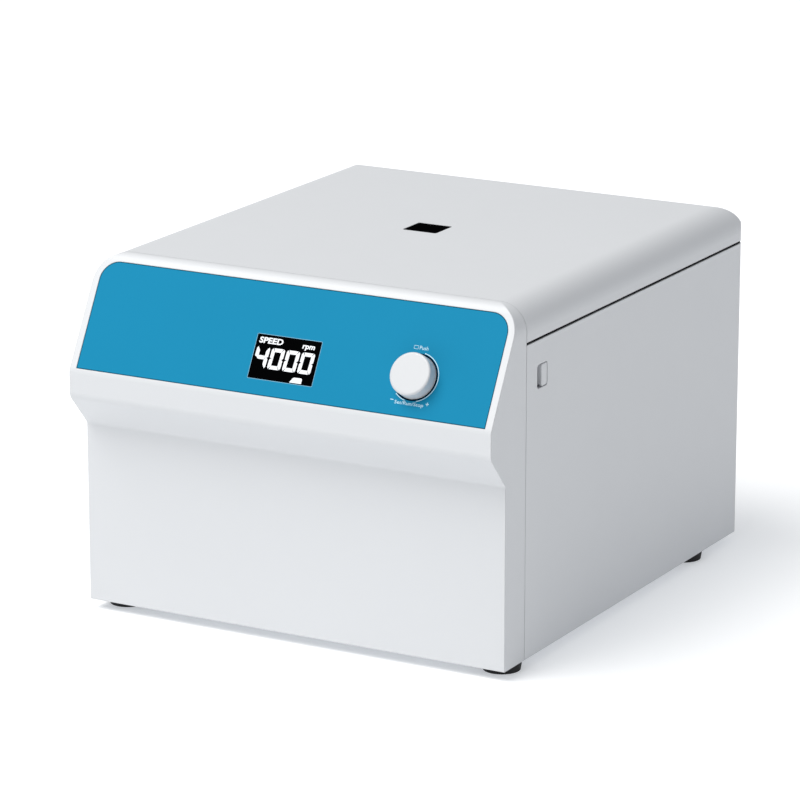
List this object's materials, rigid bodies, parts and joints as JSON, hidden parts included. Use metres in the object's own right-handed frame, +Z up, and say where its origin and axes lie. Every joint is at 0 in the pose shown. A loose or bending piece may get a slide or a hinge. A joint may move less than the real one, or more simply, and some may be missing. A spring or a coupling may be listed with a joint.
{
  "type": "mini centrifuge",
  "caption": "Compact bench centrifuge: white moulded case, sloped blue console with a speed display and push knob, hinged lid over a fixed-angle tube rotor.",
  "frame": {"origin": "middle of the part's box, on the bench under the feet", "axes": "+X to the right as the operator stands, +Y to the rear, +Z up"},
  "size_m": [0.28, 0.3418, 0.2164],
  "materials": {
    "case": "satin moulded plastic, white",
    "lid": "satin moulded plastic, white",
    "liner": "moulded plastic, pale grey",
    "panel": "printed film, mid blue",
    "display": "glossy clear film over a black display",
    "dark_plastic": "moulded plastic, black",
    "smoked_window": "smoked clear plastic, very dark",
    "board": "glass-fibre circuit board, green",
    "knob": "satin moulded plastic, white",
    "steel": "turned steel",
    "zinc_screws": "bright zinc plate",
    "tray": "zinc-plated sheet steel",
    "bowl": "spun stainless steel",
    "rubber": "matt black rubber",
    "motor": "dark grey painted steel can",
    "core": "stacked core plates",
    "solenoid": "plated frame round a taped coil",
    "rotor": "turned and anodised",
    "brass_pins": "bright brass",
    "fuse_glass": "clear glass tube",
    "transformer": "wound core with yellow tape",
    "capacitor": "sleeved can, dark blue"
  },
  "bodies": {
    "case": {"front_cover": "case", "rear_housing": "case", "release_guide": "case", "release_plug": "case", "top_deck": "liner", "panel_overlay": "panel", "display_window": "display", "display_module": "dark_plastic", "power_inlet": "dark_plastic", "switch_frame": "dark_plastic", "encoder_body": "dark_plastic", "lid_sensor": "dark_plastic", "control_board": "board", "power_board": "board", "hinge_pins": "steel", "motor_bearings": "steel", "support_posts": "steel", "board_screws": "zinc_screws", "post_screws": "zinc_screws", "foot_screws": "zinc_screws", "foot_nuts": "zinc_screws", "tray_screws": "zinc_screws", "motor_screws": "zinc_screws", "hinge_screws": "zinc_screws", "hinge_nuts": "zinc_screws", "bracket_screws": "zinc_screws", "inlet_screws": "zinc_screws", "base_tray": "tray", "motor_plate": "tray", "lock_bracket": "tray", "hinge_brackets": "tray", "chamber_bowl": "bowl", "rubber_feet": "rubber", "chamber_gasket": "rubber", "vibration_mounts": "rubber", "shaft_boot": "rubber", "motor_housing": "motor", "motor_stator": "core", "lock_solenoid": "solenoid", "inlet_pins": "brass_pins", "transformer": "transformer", "capacitors": "capacitor"},
    "lid": {"lid_shell": "lid", "lid_liner": "liner", "lid_window": "smoked_window", "lid_seal": "rubber", "liner_screws": "zinc_screws", "striker": "steel", "striker_screws": "zinc_screws"},
    "rotor": {"motor_shaft": "steel", "motor_armature": "core", "angle_rotor": "rotor", "rotor_nut": "rotor"},
    "press": {"press_collar": "dark_plastic"},
    "knob": {"knob": "knob", "encoder_shaft": "steel"},
    "lock_bolt": {"lock_bolt": "steel"},
    "rocker": {"switch_rocker": "dark_plastic"},
    "fuse_drawer": {"fuse_drawer": "dark_plastic", "fuse": "fuse_glass"}
  },
  "joints": [
    {"name": "lid_hinge", "type": "hinge", "parent": "case", "child": "lid", "pos_m": [0, 0.16686, 0.1933], "axis": [-1, 0, 0], "range_deg": [0, 80]},
    {"name": "rotor_spin", "type": "hinge", "parent": "case", "child": "rotor", "pos_m": [0, 0.01136, 0.088], "axis": [0, 0, 1], "continuous": true},
    {"name": "knob_push", "type": "slide", "parent": "case", "child": "press", "axis": [0, 0.8763, -0.4818], "range_m": [0, 0.001], "stiffness_N_per_m": 1500, "springref_m": -0.001},
    {"name": "knob_turn", "type": "hinge", "parent": "press", "child": "knob", "pos_m": [0.0852, -0.15825, 0.17417], "axis": [0, -0.8763, 0.4818], "continuous": true},
    {"name": "bolt_slide", "type": "slide", "parent": "case", "child": "lock_bolt", "axis": [1, 0, 0], "range_m": [0, 0.01]},
    {"name": "rocker_tilt", "type": "hinge", "parent": "case", "child": "rocker", "pos_m": [0.046, 0.16286, 0.046], "axis": [-1, 0, 0], "range_deg": [0, 16]},
    {"name": "fuse_drawer_slide", "type": "slide", "parent": "case", "child": "fuse_drawer", "axis": [0, 1, 0], "range_m": [0, 0.012]}
  ]
}
